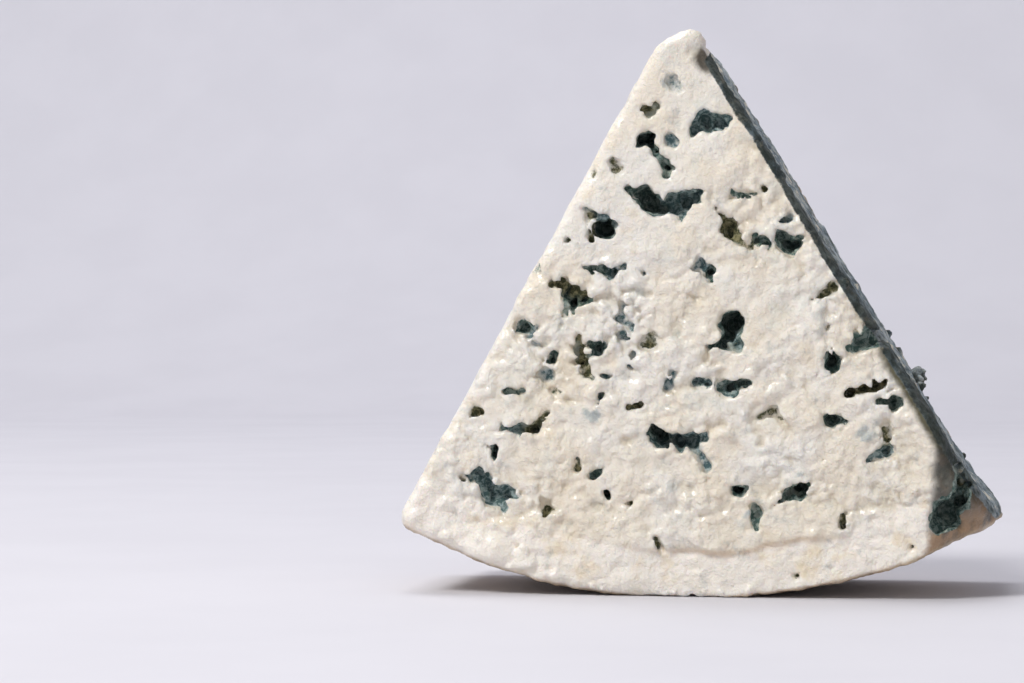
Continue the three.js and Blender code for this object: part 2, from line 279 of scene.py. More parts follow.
# The two hollows of the broken corner, in the same form.
BROKEN_CORNER_VEINS = [
    ("dark", 6.5, [(0.972, 0.83, 1.2), (0.96, 0.875, 2.3), (0.95, 0.93, 1.8)]),
    ("dark", 9.0, [(0.955, 0.93, 1.2), (0.93, 0.965, 1.2), (0.905, 0.985, 1.0)]),
]

# Stains of mould on unbroken paste: (kind, share of the radius, side, radius in mm, strength).
FRONT_STAINS = [
    ("blue", 0.13, -0.15, 1.9, 0.55),
    ("blue", 0.65, 0.04, 1.5, 0.4),
    ("blue", 0.785, 0.74, 2.1, 0.5),
    ("blue", 0.706, -0.43, 2.1, 0.75),
    ("blue", 0.866, 0.21, 1.8, 0.65),
    ("blue", 0.81, 0.43, 1.3, 0.5),
    ("blue", 0.745, 0.05, 1.6, 0.5),
    ("olive", 0.655, 0.51, 1.2, 0.35),
    ("blue", 0.602, 0.41, 0.7, 0.35),
    ("olive", 0.46, 0.44, 1.1, 0.3),
    ("blue", 0.87, 0.1, 0.8, 0.3),
    ("blue", 0.55, -0.36, 1.5, 0.35),
    ("olive", 0.19, -0.47, 1.6, 0.35),
    ("blue", 0.39, -0.58, 1.4, 0.4),
    ("blue", 0.6, -0.83, 1.3, 0.35),
    ("blue", 0.87, 0.75, 1.2, 0.2),
    ("olive", 0.97, 0.02, 1.3, 0.35),
    ("blue", 0.99, -0.02, 1.5, 0.5),
]

# Veins of the radial cuts: a bead is (share of the wheel radius, share of the thickness, radius in mm).
RIGHT_VEINS = [
    ("dark", 2.0, [(0.22, 0.4, 0.8), (0.26, 0.5, 1.4), (0.28, 0.62, 0.8)]),
    ("teal", 2.0, [(0.4, 0.62, 1.1), (0.43, 0.7, 1.7), (0.45, 0.82, 1.0)]),
    ("dark", 2.4, [(0.48, 0.3, 1.0), (0.51, 0.38, 1.5)]),
    ("blue", 1.6, [(0.6, 0.72, 1.0), (0.64, 0.78, 1.4), (0.69, 0.74, 1.0)]),
    ("dark", 2.6, [(0.8, 0.42, 1.2), (0.83, 0.5, 2.0), (0.84, 0.6, 1.2)]),
    ("teal", 1.8, [(0.92, 0.62, 1.2), (0.93, 0.7, 1.0)]),
    ("teal", 1.8, [(0.73, 0.18, 0.8), (0.76, 0.24, 1.2)]),
]
LEFT_VEINS = [
    ("teal", 3.5, [(0.27, 0.56, 0.8), (0.3, 0.6, 1.4), (0.33, 0.62, 0.9)]),
    ("dark", 5.0, [(0.43, 0.36, 1.2), (0.44, 0.42, 1.7), (0.47, 0.47, 1.3)]),
    ("olive", 2.0, [(0.53, 0.78, 0.8), (0.56, 0.8, 0.9)]),
    ("dark", 4.0, [(0.6, 0.24, 0.7), (0.62, 0.27, 0.9)]),
    ("teal", 4.5, [(0.64, 0.66, 1.0), (0.66, 0.72, 1.9), (0.69, 0.76, 1.3), (0.72, 0.76, 0.6)]),
    ("blue", 1.5, [(0.7, 0.32, 1.1), (0.73, 0.36, 0.8)]),
    ("olive", 1.4, [(0.8, 0.44, 0.6), (0.82, 0.48, 0.8)]),
    ("dark", 4.0, [(0.84, 0.54, 1.0), (0.86, 0.57, 1.6), (0.9, 0.6, 0.9)]),
    ("teal", 2.5, [(0.9, 0.24, 0.9), (0.92, 0.28, 1.1)]),
    ("dark", 3.0, [(0.37, 0.86, 0.8)]),
]
# Stains of both radial cuts: (kind, share of the radius, share of the thickness, radius, strength).
RADIAL_STAINS = [
    ("blue", 0.36, 0.3, 2.0, 0.5),
    ("blue", 0.5, 0.6, 2.4, 0.45),
    ("olive", 0.62, 0.5, 1.8, 0.35),
    ("blue", 0.78, 0.7, 2.2, 0.5),
    ("blue", 0.85, 0.3, 1.8, 0.4),
]

# Needle holes in the flat back rind: (share of the wheel radius, side).
NEEDLE_HOLES = [(0.45, -0.5), (0.45, 0.5), (0.65, -0.67), (0.65, 0), (0.65, 0.67),
                (0.85, -0.75), (0.85, -0.25), (0.85, 0.25), (0.85, 0.75)]
NEEDLE_RADIUS = 1.1
NEEDLE_DEPTH = 6.0

# Crumbs stuck to the right face: (share of the radius, share of the thickness, radius in mm).
RIGHT_CRUMBS = [(0.742, 0.72, 2.0), (0.758, 0.66, 1.1), (0.645, 0.8, 0.9), (0.68, 0.78, 1.0),
                (0.78, 0.85, 0.8), (0.865, 0.8, 0.9), (0.9, 0.86, 0.6)]
# Crumbs hanging on the front edge of the rind: (angle from straight down, depth, radius in mm). They
# are made a little smaller and sit further back and up than their rows say.
EDGE_CRUMBS = [(-8.3, 0.6, 0.9), (-7.3, 0.4, 0.6), (-1.2, 0.8, 0.9), (-0.3, 0.5, 0.6), (1.7, 0.5, 0.9),
               (2.6, 0.9, 0.5), (4.4, 0.4, 0.8), (7.0, 0.3, 0.8), (-17.0, 0.5, 0.7), (-24.5, 0.6, 0.6)]
CRUMB_SHRINK = 0.85
CRUMB_BACK = 0.9
CRUMB_UP = 1.4

# What a kind of vein paints: how solid its mould is, how blue and how olive, and how far it blooms.
KINDS = {
    "dark": {"mould": 1.0, "blue": 0.25, "olive": 0.0, "halo": 0.5},
    "teal": {"mould": 1.0, "blue": 0.7, "olive": 0.0, "halo": 0.8},
    "blue": {"mould": 0.7, "blue": 1.0, "olive": 0.0, "halo": 1.0},
    "olive": {"mould": 0.8, "blue": 0.2, "olive": 1.0, "halo": 0.7},
}


def smooth_step(low, high, value):
    share = np.clip((value - low) / (high - low), 0, 1)
    return share * share * (3 - 2 * share)


def lattice_noise(x, y, z, size, seed):
    """Smooth noise from about -1 to 1 whose bumps are about size mm across."""
    table = np.random.default_rng(seed).uniform(-1, 1, (TABLE_SIZE,) * 3).astype(np.float32)
    cells, blends = [], []
    for value in (x, y, z):
        scaled = np.asarray(value, np.float32) / np.float32(size)
        low = np.floor(scaled)
        cells.append(low.astype(np.int32))
        share = scaled - low
        blends.append(share * share * (3 - 2 * share))
    total = 0
    for step in np.ndindex(2, 2, 2):
        weight = 1
        index = []
        for axis in range(3):
            weight = weight * (blends[axis] if step[axis] else 1 - blends[axis])
            index.append((cells[axis] + step[axis]) % TABLE_SIZE)
        total = total + weight * table[tuple(index)]
    return total


def cell_noise(x, y, z, size, seed):
    """Distances, in cells, to the nearest and next of points scattered one to each cell of size mm."""
    table = np.random.default_rng(seed).uniform(0, 1, (TABLE_SIZE,) * 3 + (3,)).astype(np.float32)
    places = [np.asarray(value, np.float32) / np.float32(size) for value in (x, y, z)]
    bases = [np.floor(place).astype(np.int32) for place in places]
    nearest = np.full(places[0].shape, 9, np.float32)
    second = nearest.copy()
    for step in np.ndindex(3, 3, 3):
        cell = [base + offset - 1 for base, offset in zip(bases, step)]
        jitter = table[tuple(c % TABLE_SIZE for c in cell)]
        gap = 0
        for axis in range(3):
            gap = gap + (cell[axis] + jitter[..., axis] - places[axis]) ** 2
        second = np.minimum(second, np.maximum(nearest, gap))
        nearest = np.minimum(nearest, gap)
    return np.sqrt(nearest), np.sqrt(second)


def rounded_join(first, second, radius):
    """Distance to two faces that meet in an edge of this radius."""
    over = np.maximum(first + radius, 0)
    beside = np.maximum(second + radius, 0)
    return np.minimum(np.maximum(first, second), -radius) + np.hypot(over, beside)


def on_wheel(share, angle):
    turn = math.radians(angle)
    return share * WHEEL_RADIUS * math.sin(turn), -share * WHEEL_RADIUS * math.cos(turn)


def side_angle(side):
    return LEAN + side * HALF_ANGLE


def along_cut(x, z, angle):
    """Distance from the wheel's axis along a radial cut, and outwards from it to the right."""
    turn = math.radians(angle)
    return x * math.sin(turn) - z * math.cos(turn), x * math.cos(turn) + z * math.sin(turn)


def rim_ledge(x, z):
    """Distance outwards from the line where the halved paste steps down to the rim band."""
    wander = 0.8 * lattice_noise(x, 0, z, 9, 1) + 0.5 * lattice_noise(x, 0, z, 3, 10)
    return np.hypot(x, z) - (WHEEL_RADIUS - RIM_WIDTH + 1.6 * x / WHEEL_RADIUS + wander)


def front_recess(x, z):
    """How far the halved face lies behind the plane of the wedge's front."""
    ledge = rim_ledge(x, z)
    strong = smooth_step(*STEP_COMES_IN, x) * (1 - 0.75 * smooth_step(*STEP_FADES_OUT, x))
    band = smooth_step(-0.7, 0.5, ledge) * strong
    swell = smooth_step(-7, -1.5, ledge) * strong
    waves = 0.3 * lattice_noise(x, 0, z, 17, 2) + 0.2 * lattice_noise(x, 0, z, 7, 3)
    return FACE_RECESS + RIM_STEP * band - LEDGE_SWELL * swell + waves * (1 - 0.6 * band)


def face_distances(x, y, z):
    """Distance outside each face of the uncut wedge."""
    left = -along_cut(x, z, LEFT_ANGLE)[1] + 0.3 * lattice_noise(x, y, z, 15, 4)
    along, right = along_cut(x, z, RIGHT_ANGLE)
    flare = CUT_FLARE * smooth_step(0.9 * WHEEL_RADIUS, WHEEL_RADIUS, along)
    right = right - flare + 0.3 * lattice_noise(x, y, z, 12, 5)
    angle = np.degrees(np.arctan2(x, -z))
    bulge = RIND_SWELL * smooth_step(8, 24, angle) + CORNER_SWELL * smooth_step(27, 31, angle)
    rind = np.hypot(x, z) - WHEEL_RADIUS - bulge + 0.25 * lattice_noise(x, y, z, 10, 6)
    return {
        "front": front_recess(x, z) - y,
        "back": y - THICKNESS + 0.2 + 0.2 * lattice_noise(x, 0, z, 14, 7),
        "left": left,
        "right": right,
        "rind": rind,
        "rest": -z - AXIS_HEIGHT + 0 * y,
    }


def wheel_point(share, angle, depth):
    x, z = on_wheel(share, angle)
    return np.array([x, depth, z])


def torn_chips(x, y, z):
    """Roughness of the paste where a corner broke off."""
    return 0.6 * lattice_noise(x, y, z, 3.1, 8) + 1.2 * lattice_noise(x, y, z, 8, 9)


def break_distance(x, y, z):
    """Distance outside the plane of the broken corner."""
    start = wheel_point(BREAK_START, RIGHT_ANGLE, 0)
    rind = wheel_point(1, BREAK_RIND_ANGLE, 0)
    deep = wheel_point(1, RIGHT_ANGLE, BREAK_DEPTH)
    normal = np.cross(rind - start, deep - start)
    normal = normal / np.linalg.norm(normal)
    if normal[1] > 0:
        normal = -normal
    return (x - start[0]) * normal[0] + (y - start[1]) * normal[1] + (z - start[2]) * normal[2]


def ball(x, y, z, centre, radius):
    return np.sqrt((x - centre[0]) ** 2 + (y - centre[1]) ** 2 + (z - centre[2]) ** 2) - radius


def body_distance(x, y, z):
    """Distance outside the wedge before its hollows are opened."""
    face = face_distances(x, y, z)
    sector = rounded_join(face["left"], face["right"], TIP_GAP / TIP_GAP_PER_ROUND)
    corner_round = CORNER_ROUND - RIGHT_CORNER_SHARPER * smooth_step(0, 20, x)
    outline = rounded_join(sector, face["rind"], corner_round)
    outline = np.maximum(outline, face["rest"])
    cap = np.hypot(x - CAP_CENTRE[0], z - CAP_CENTRE[2]) - CAP_RADIUS
    cap = cap + np.abs(y - CAP_CENTRE[1]) * CAP_TAPER
    outline = np.minimum(outline, cap)
    sharp_rind = smooth_step(-5, -2, face["rind"]) * smooth_step(-15, 5, x)
    front_round = FRONT_ROUND + LEFT_EDGE_SOFTER * smooth_step(5, -15, x)
    front_round = front_round - RIND_EDGE_SHARPER * sharp_rind
    body = rounded_join(outline, face["front"], front_round)
    body = rounded_join(body, face["back"], BACK_ROUND)
    chips = torn_chips(x, y, z)
    body = rounded_join(body, break_distance(x, y, z) + chips, BREAK_ROUND)
    scoop = -ball(x, y, z, SCOOP_CENTRE, SCOOP_RADIUS)
    return np.maximum(body, scoop + 0.3 * chips)


class Vein:
    """A chain of beads in a face's own directions: along u and v in the face, w into the paste."""

    def __init__(self, kind, depth, beads, face, seed):
        self.kind = kind
        self.face = face
        self.beads = [(*face.place(bead[0], bead[1]), bead[2]) for bead in beads]
        self.squash = max(bead[2] for bead in beads) / depth
        self.depth = depth
        rng = np.random.default_rng(seed)
        self.facets = [self.cut_facets(rng) for _ in self.beads]

    @staticmethod
    def cut_facets(rng):
        """Flat sides of one bead, as torn curd leaves them: direction, and distance in bead radii."""
        angles = (np.arange(FACETS) + rng.uniform(-0.35, 0.35, FACETS)) * 2 * math.pi / FACETS
        slopes = rng.uniform(-0.5, 0.5, FACETS)
        reach = rng.uniform(0.75, 1.15, FACETS)
        return [(math.cos(a), math.sin(a), s, r) for a, s, r in zip(angles, slopes, reach)]

    def span(self):
        """Lowest and highest corner of a box round the vein in the wheel's frame."""
        margin = max(bead[2] for bead in self.beads) + 1.6
        corners = []
        for u, v, _ in self.beads:
            for w in (-1.5, self.depth + 1):
                corners.append(self.face.back(u, v, w))
        corners = np.array(corners)
        return corners.min(axis=0) - margin, corners.max(axis=0) + margin

    def distance(self, x, y, z):
        """Distance outside the vein's hollow, its outline broken up by noise."""
        u, v, w = self.face.split(x, y, z)
        u = u + OUTLINE_WANDER * lattice_noise(x, y, z, 2.1, 11)
        u = u + OUTLINE_WANDER_FINE * lattice_noise(x, y, z, 0.9, 12)
        v = v + OUTLINE_WANDER * lattice_noise(x, y, z, 2.1, 13)
        v = v + OUTLINE_WANDER_FINE * lattice_noise(x, y, z, 0.9, 14)
        w = w * self.squash
        total = None
        for (bu, bv, radius), facets in zip(self.beads, self.facets):
            du, dv = u - bu, v - bv
            angular = np.sqrt(du * du + dv * dv + w * w) - BEAD_BULGE * radius
            for along_u, along_v, slope, reach in facets:
                angular = np.maximum(angular, du * along_u + dv * along_v + w * slope - reach * radius)
            total = angular if total is None else np.minimum(total, angular)
        for (au, av, ra), (bu, bv, rb) in zip(self.beads, self.beads[1:]):
            length = (bu - au) ** 2 + (bv - av) ** 2
            share = np.clip(((u - au) * (bu - au) + (v - av) * (bv - av)) / length, 0, 1)
            du, dv = u - au - share * (bu - au), v - av - share * (bv - av)
            tube = np.sqrt(du * du + dv * dv + w * w) - LINK_WIDTH * (ra + share * (rb - ra))
            total = np.minimum(total, tube)
        return total


class FrontFace:
    @staticmethod
    def place(share, side):
        return on_wheel(share, side_angle(side))

    @staticmethod
    def split(x, y, z):
        return x, z, y - front_recess(x, z) - TORN_SETBACK

    @staticmethod
    def back(u, v, w):
        return u, w + FRONT_SETBACK, v


class BackFace(FrontFace):
    @staticmethod
    def split(x, y, z):
        return x, z, THICKNESS - y

    @staticmethod
    def back(u, v, w):
        return u, THICKNESS - w, v


class RadialFace:
    """One radial cut: u runs out from the wheel's axis, v back through the thickness."""

    def __init__(self, angle, facing):
        self.angle = angle
        self.facing = facing

    def place(self, share, thickness_share):
        return share * WHEEL_RADIUS, thickness_share * THICKNESS

    def split(self, x, y, z):
        along, outward = along_cut(x, z, self.angle)
        return along, y + 0 * along, -self.facing * outward - TORN_SETBACK

    def back(self, u, v, w):
        turn = math.radians(self.angle)
        inward = -self.facing * w
        return (
            u * math.sin(turn) + inward * math.cos(turn),
            v,
            -u * math.cos(turn) + inward * math.sin(turn),
        )


FRONT, BACK = FrontFace(), BackFace()
LEFT, RIGHT = RadialFace(LEFT_ANGLE, -1), RadialFace(RIGHT_ANGLE, 1)


def scattered_veins(count, seed):
    """Rows of small veins at random places of a radial cut."""
    rng = np.random.default_rng(seed)
    rows = []
    for _ in range(count):
        share, thickness_share = rng.uniform(0.2, 0.96), rng.uniform(0.1, 0.92)
        turn, radius = rng.uniform(-0.8, 0.8), rng.uniform(0.35, 1.0)
        beads = []
        for step in range(rng.integers(1, 4)):
            along = share + 0.017 * step * math.cos(turn)
            across = thickness_share + 0.04 * step * math.sin(turn)
            beads.append((along, across, radius * rng.uniform(0.6, 1.2)))
        rows.append((rng.choice(["teal", "blue", "olive", "dark"]), rng.uniform(0.9, 3.5), beads))
    return rows


def all_veins():
    """Every vein of the wedge, each with a seed of its own."""
    veins = []
    right_rows = RIGHT_VEINS + scattered_veins(*RIGHT_SCATTER)
    left_rows = LEFT_VEINS + scattered_veins(*LEFT_SCATTER)
    needle_rows = []
    for share, side in NEEDLE_HOLES:
        needle_rows.append(("dark", NEEDLE_DEPTH, [(share, side, NEEDLE_RADIUS)]))
    tables = (
        (FRONT, FRONT_VEINS),
        (RIGHT, right_rows),
        (LEFT, left_rows),
        (BACK, needle_rows),
        (FRONT, BROKEN_CORNER_VEINS),
    )
    for face, rows in tables:
        for kind, depth, beads in rows:
            veins.append(Vein(kind, depth, beads, face, FIRST_VEIN_SEED + len(veins)))
    return veins


def crumb_balls():
    """Centre and radius of each crumb, in the wheel's frame."""
    found = []
    for share, thickness_share, radius in RIGHT_CRUMBS:
        u, v = RIGHT.place(share, thickness_share)
        found.append((RIGHT.back(u, v, 0), radius))
    for angle, depth, radius in EDGE_CRUMBS:
        x, z = on_wheel(1, angle)
        found.append(((x, depth + CRUMB_BACK, z + CRUMB_UP), CRUMB_SHRINK * radius))
    return found


def face_shares(x, y, z):
    """How much each face owns a point near it, from 0 to 1."""
    face = face_distances(x, y, z)
    return {name: smooth_step(-2.4, -1.0, value) for name, value in face.items()}


def curd_lumps(x, y, z, size, seed):
    """Rounded lumps pressed together: 0 at their tops, 1 in the creases between them."""
    nearest, second = cell_noise(x, y, z, size, seed)
    crease = smooth_step(0.45, 0.0, second - nearest)
    return 0.45 * np.minimum(nearest, 1) ** 2 + 0.55 * crease


def torn_share(x, y, z):
    """How roughly the halved face is torn: little near the tip and on the rim band, more between."""
    radius = np.hypot(x, z) / WHEEL_RADIUS
    patches = 0.5 + 0.5 * lattice_noise(x, y, z, 12, 20)
    torn = smooth_step(0.18, 0.6, radius + 0.3 * (patches - 0.5)) * (0.6 + 0.4 * patches)
    return torn * (1 - 0.65 * smooth_step(0.0, 1.5, rim_ledge(x, z)) * smooth_step(-30, 0, x))


def surface_relief(x, y, z):
    """How far the finished surface lies below the smooth one, by face."""
    share = face_shares(x, y, z)
    torn = torn_share(x, y, z)
    broad = lattice_noise(x, y, z, 4.6, 21)
    fine = lattice_noise(x, y, z, 1.3, 23)
    warp_x = x + 1.1 * broad
    warp_z = z + 1.1 * lattice_noise(x, y, z, 4.1, 26)
    large = curd_lumps(warp_x, y, warp_z, 4.4, 24)
    small = curd_lumps(warp_x + 0.4 * fine, y, warp_z, 1.9, 27)
    ridges = np.abs(lattice_noise(warp_x + 0.35 * warp_z, y, 2.1 * warp_z - 0.6 * warp_x, 4.2, 22))
    grainy = smooth_step(0.0, 0.5, lattice_noise(x, y, z, 9, 28))
    dents = smooth_step(0.42, 0.75, lattice_noise(warp_x, y, warp_z, 2.7, 29))
    curd = 0.6 * large + (0.3 + 0.45 * grainy) * small - 0.75 * ridges + 0.35 * broad + 0.28 * fine
    curd = curd + 0.6 * dents
    smooth = 0.3 * broad + 0.18 * large + 0.1 * small + 0.08 * fine + 0.35 * dents
    front = (1 - torn) * smooth + torn * curd
    along, deep = RIGHT.split(x, y, z)[:2]
    streaks = lattice_noise(along, deep * 4.5, 0, 9, 25)
    right = 0.4 * streaks + 0.3 * broad + 0.2 * fine + 0.3 * small + 0.3 * dents
    left = 0.12 * broad + 0.05 * fine + 0.15 * large + 0.25 * dents
    rind = 0.2 * broad + 0.12 * fine + 0.2 * small
    relief = share["front"] * front
    for name, value in (("right", right), ("left", left), ("rind", rind), ("back", rind)):
        relief = relief + share[name] * (1 - share["front"]) * value
    hidden = 1 - np.maximum.reduce([share[name] for name in ("front", "right", "left", "rind", "back")])
    pit = 0.3 * broad + 0.22 * fine + 0.35 * small - 0.15
    return relief + hidden * pit


def grow_field():
    """The distance field on its grid, and the grid's lowest corner."""
    low = np.array([-52.0, -2.0, -AXIS_HEIGHT - 1.2])
    high = np.array([56.0, THICKNESS + 2.0, -2.0])
    count = np.ceil((high - low) / VOXEL).astype(int)
    lines = [low[axis] + VOXEL * np.arange(count[axis], dtype=np.float32) for axis in range(3)]
    x, y, z = (line.astype(np.float32) for line in lines)
    field = body_distance(x[:, None, None], y[None, :, None], z[None, None, :]).astype(np.float32)
    for centre, radius in crumb_balls():
        merge_part(field, lines, centre, radius)
    for vein in VEINS:
        cut_vein(field, lines, vein)
    near = np.nonzero(np.abs(field) < 2.2)
    points = [line[index] for line, index in zip((x, y, z), near)]
    field[near] += surface_relief(*points)
    rest = -z[None, None, :] - AXIS_HEIGHT
    return np.maximum(field, rest), low


def window(lines, low, high):
    """Slices of the grid between two corners, and its coordinates there, ready to broadcast."""
    slices = tuple(
        slice(*np.searchsorted(line, (a, b)))
        for line, a, b in zip(lines, low, high)
    )
    x, y, z = (line[part].astype(np.float32) for line, part in zip(lines, slices))
    return slices, x[:, None, None], y[None, :, None], z[None, None, :]


def merge_part(field, lines, centre, radius):
    reach = radius + 2
    slices, x, y, z = window(lines, np.array(centre) - reach, np.array(centre) + reach)
    rough = lattice_noise(x, y, z, 0.7 * radius + 0.5, 30) + 0.6 * lattice_noise(x, y, z, 0.6, 31)
    lump = ball(x, y, z, centre, radius) + 0.42 * radius * rough
    field[slices] = np.minimum(field[slices], lump)


def cut_vein(field, lines, vein):
    slices, x, y, z = window(lines, *vein.span())
    hollow = vein.distance(x, y, z)
    field[slices] = np.maximum(field[slices], -hollow)


def skin_mesh(field, low):
    """The field's zero surface as one closed mesh, in metres in the CAD frame."""
    grid = openvdb.FloatGrid(background=float(field.max()))
    grid.copyFromArray(field)
    points, triangles, quads = grid.convertToPolygons(isovalue=0.0, adaptivity=0.0)
    places = (points * VOXEL + low + WHEEL_ORIGIN) / 1000
    faces = [tuple(face) for face in triangles.tolist()] + [tuple(face) for face in quads.tolist()]
    mesh = bpy.data.meshes.new("cheese_paste")
    mesh.from_pydata(places.tolist(), [], faces)
    return mesh


def largest_piece(piece):
    """Drops the crumbs and bubbles that hang free, and keeps the wedge."""
    bpy.ops.object.select_all(action="DESELECT")
    piece.select_set(True)
    bpy.context.view_layer.objects.active = piece
    bpy.ops.mesh.separate(type="LOOSE")
    parts = sorted(bpy.context.selected_objects, key=lambda part: len(part.data.vertices))
    for part in parts[:-1]:
        bpy.data.objects.remove(part)
    return parts[-1]


def thin_out(piece):
    """Brings the mesh down to the triangles it may keep."""
    triangles = sum(len(face.vertices) - 2 for face in piece.data.polygons)
    decimate = piece.modifiers.new("thin", "DECIMATE")
    decimate.ratio = min(1, MOST_TRIANGLES / triangles)
    graph = bpy.context.evaluated_depsgraph_get()
    thinned = bpy.data.meshes.new_from_object(piece.evaluated_get(graph))
    piece.modifiers.remove(decimate)
    piece.data = thinned


def paint_values(x, y, z):
    """Vertex values the shader reads, for points in the wheel's frame."""
    face = face_distances(x, y, z)
    shares = face_shares(x, y, z)
    relief = surface_relief(x, y, z)
    depth = -np.maximum.reduce([face[name] for name in ("front", "left", "right", "rind", "back")])
    sunken = smooth_step(0.1, 1.5, depth - relief)
    values = {name: np.zeros_like(x) for name in ("mould", "blue", "olive", "halo")}
    for vein in VEINS:
        low, high = vein.span()
        inside = np.ones(x.shape, bool)
        for place, lowest, highest in zip((x, y, z), low, high):
            inside &= (place > lowest) & (place < highest)
        if not inside.any():
            continue
        gap = vein.distance(x[inside], y[inside], z[inside])
        kind = KINDS[vein.kind]
        lining = smooth_step(LINING_REACH, 0.1, gap) * (0.25 + 0.75 * sunken[inside])
        near = smooth_step(BLOOM_REACH, 0.1, gap) * (0.45 + 0.55 * sunken[inside])
        for name, amount in (("mould", kind["mould"] * lining), ("halo", kind["halo"] * near),
                             ("blue", kind["blue"] * near), ("olive", kind["olive"] * near)):
            values[name][inside] = np.maximum(values[name][inside], amount)
    add_stains(values, x, y, z)
    # Painted shade: how deep a point lies in a hollow, for darkening the mould there.
    values["deep"] = smooth_step(1.4, 6.5, depth)
    # Painted shade: the lows of the relief, darkened in the paste's colour.
    values["low"] = smooth_step(0.25, 1.0, relief)
    # Painted shade: the broken corner and the chip under the tip get tan and dark grey-olive colours.
    broken = smooth_step(-1.4, -0.3, break_distance(x, y, z) + torn_chips(x, y, z) + relief)
    scoop = smooth_step(1.1, 0.3, ball(x, y, z, SCOOP_CENTRE, SCOOP_RADIUS))
    values["broken"] = np.maximum(broken, scoop)
    # Nearness to the rind, where the painted shade of the broken corner turns from dark to tan.
    values["under"] = smooth_step(-6, -1.2, face["rind"])
    # Painted shade along the crease where the paste steps down to the rim band.
    values["crease"] = smooth_step(0.8, 0.1, np.abs(rim_ledge(x, z))) * shares["front"]
    values["crease"] *= smooth_step(-10, 4, x) * smooth_step(30, 20, x)
    along = along_cut(x, z, RIGHT_ANGLE)[0] / WHEEL_RADIUS
    # Painted shade on the front face's rounded edge beside the right cut, over the lower part of that
    # edge.
    values["edge"] = smooth_step(-3.6, -0.9, face["right"]) * smooth_step(0.45, 0.75, along)
    # Painted shade: the right cut darkens towards its front edge, and so do the crumbs stuck to it.
    values["shade"] = smooth_step(16, 1, y) * smooth_step(-2.2, -1.0, face["right"])
    for centre, radius in crumb_balls()[:len(RIGHT_CRUMBS)]:
        crumb = smooth_step(1.3 * radius, 0.6 * radius, ball(x, y, z, centre, 0))
        values["shade"] = np.maximum(values["shade"], crumb)
    front = shares["front"]
    capped = smooth_step(1.6, 0.4, np.hypot(x - CAP_CENTRE[0], z - CAP_CENTRE[2]) - CAP_RADIUS)
    capped = capped * smooth_step(7, 3, y)
    values["right"] = smooth_step(-1.9, -0.7, face["right"]) * (1 - capped)
    values["rind"] = np.maximum(smooth_step(-0.9, -0.3, face["rind"]), shares["back"] * (1 - front))
    values["rim"] = smooth_step(-1, 1, rim_ledge(x, z)) * front
    values["torn"] = torn_share(x, y, z) * front * (1 - 0.8 * values["rim"])
    return values


def add_stains(values, x, y, z):
    """Blue-grey and olive bloom that lies on the faces away from the veins."""
    wander = lattice_noise(x, y, z, 1.6, 32) + 0.6 * lattice_noise(x, y, z, 0.8, 33)
    for kind, share, side, radius, strength in FRONT_STAINS:
        centre_x, centre_z = on_wheel(share, side_angle(side))
        gap = np.sqrt((x - centre_x) ** 2 + (z - centre_z) ** 2 + y ** 2) + 0.6 * radius * wander
        spread_stain(values, kind, strength * smooth_step(1.25 * radius, 0.2 * radius, gap))
    for face in (LEFT, RIGHT):
        u, v, w = face.split(x, y, z)
        for kind, share, thickness_share, radius, strength in RADIAL_STAINS:
            centre_u, centre_v = face.place(share, thickness_share)
            gap = np.sqrt((u - centre_u) ** 2 + (v - centre_v) ** 2 + w ** 2) + 0.6 * radius * wander
            spread_stain(values, kind, strength * smooth_step(1.25 * radius, 0.2 * radius, gap))


def spread_stain(values, kind, amount):
    amount = np.minimum(1, STAIN_BOOST * amount)
    values["halo"] = np.maximum(values["halo"], amount)
    values["blue"] = np.maximum(values["blue"], KINDS[kind]["blue"] * amount)
    values["olive"] = np.maximum(values["olive"], KINDS[kind]["olive"] * amount)
    values["mould"] = np.maximum(values["mould"], 0.45 * KINDS[kind]["mould"] * amount)


def paint(mesh):
    places = np.empty(len(mesh.vertices) * 3, np.float32)
    mesh.vertices.foreach_get("co", places)
    x, y, z = (places.reshape(-1, 3) * 1000 - WHEEL_ORIGIN).astype(np.float32).T
    for name, values in paint_values(x, y, z).items():
        layer = mesh.attributes.new(name, "FLOAT", "POINT")
        layer.data.foreach_set("value", values.astype(np.float32))


